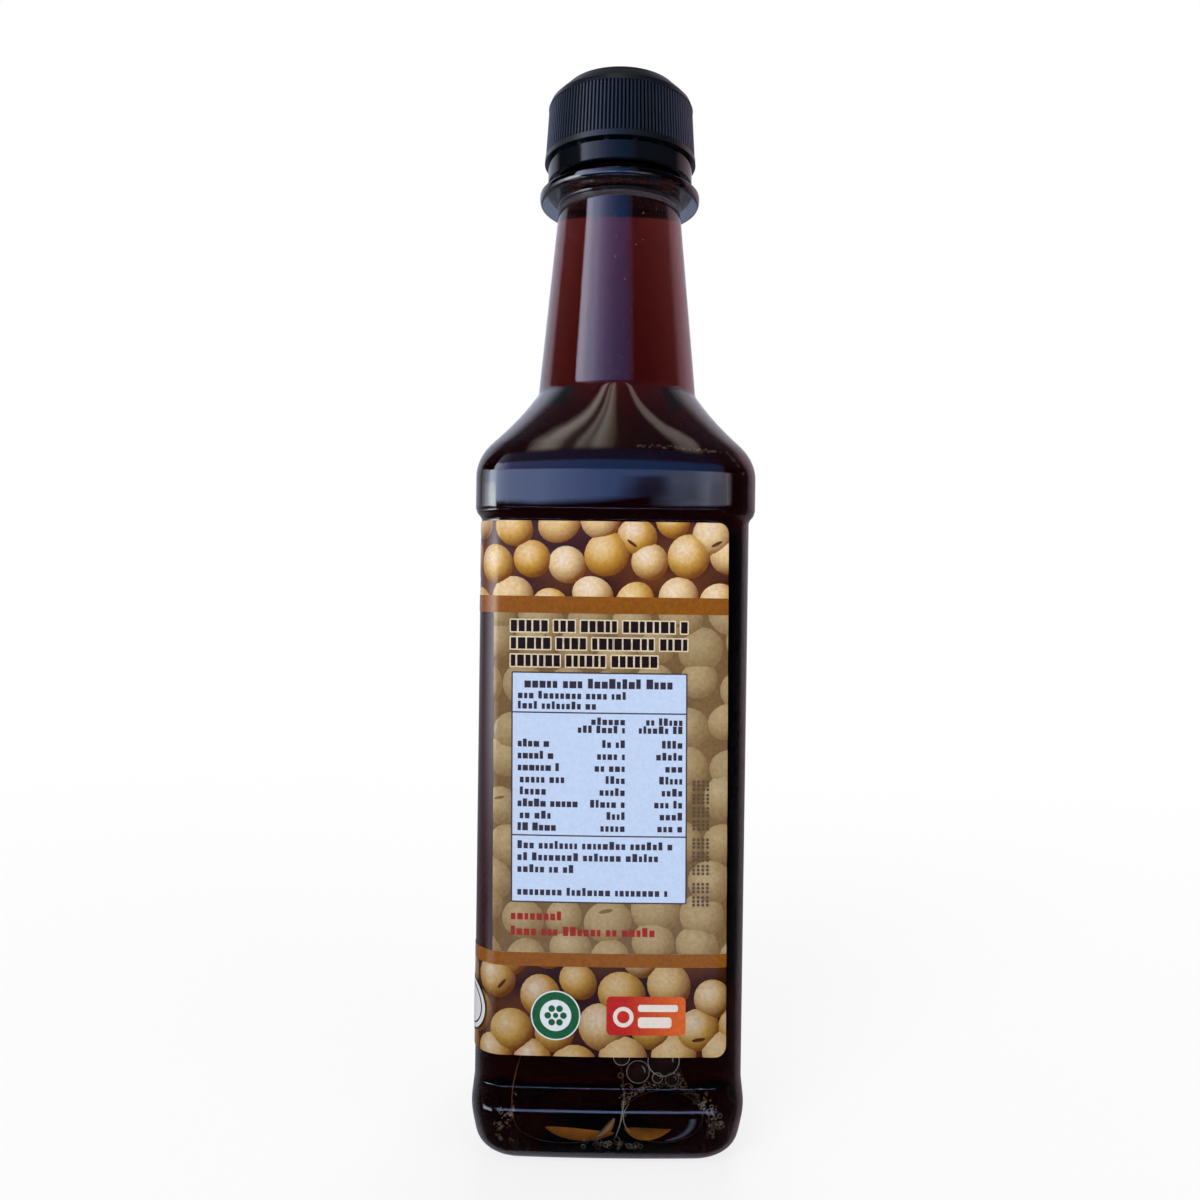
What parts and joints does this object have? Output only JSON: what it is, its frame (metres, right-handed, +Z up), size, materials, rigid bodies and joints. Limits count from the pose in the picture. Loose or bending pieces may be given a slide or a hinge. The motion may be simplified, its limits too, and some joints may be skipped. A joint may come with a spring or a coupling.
{
  "type": "sauce bottle",
  "caption": "Square clear plastic bottle of dark brown sauce, with a tapering round neck, a ribbed black screw cap and a wrap-round label.",
  "frame": {"origin": "middle of the base, on the plane that the bottle stands on", "axes": "+Z up along the bottle's axis; -Y out of the face where the label's free end shows; +X towards the bare face"},
  "size_m": [0.054, 0.054, 0.2113],
  "materials": {
    "clear_plastic": "clear, polished, with soft mould flow lines",
    "sauce": "dark red-brown liquid, almost black where it is deep",
    "cap_plastic": "black, satin, ribbed",
    "label_film": "semi-gloss printed film"
  },
  "bodies": {
    "root": {"bottle": "clear_plastic", "sauce": "sauce", "cap": "cap_plastic", "label": "label_film"}
  },
  "joints": []
}
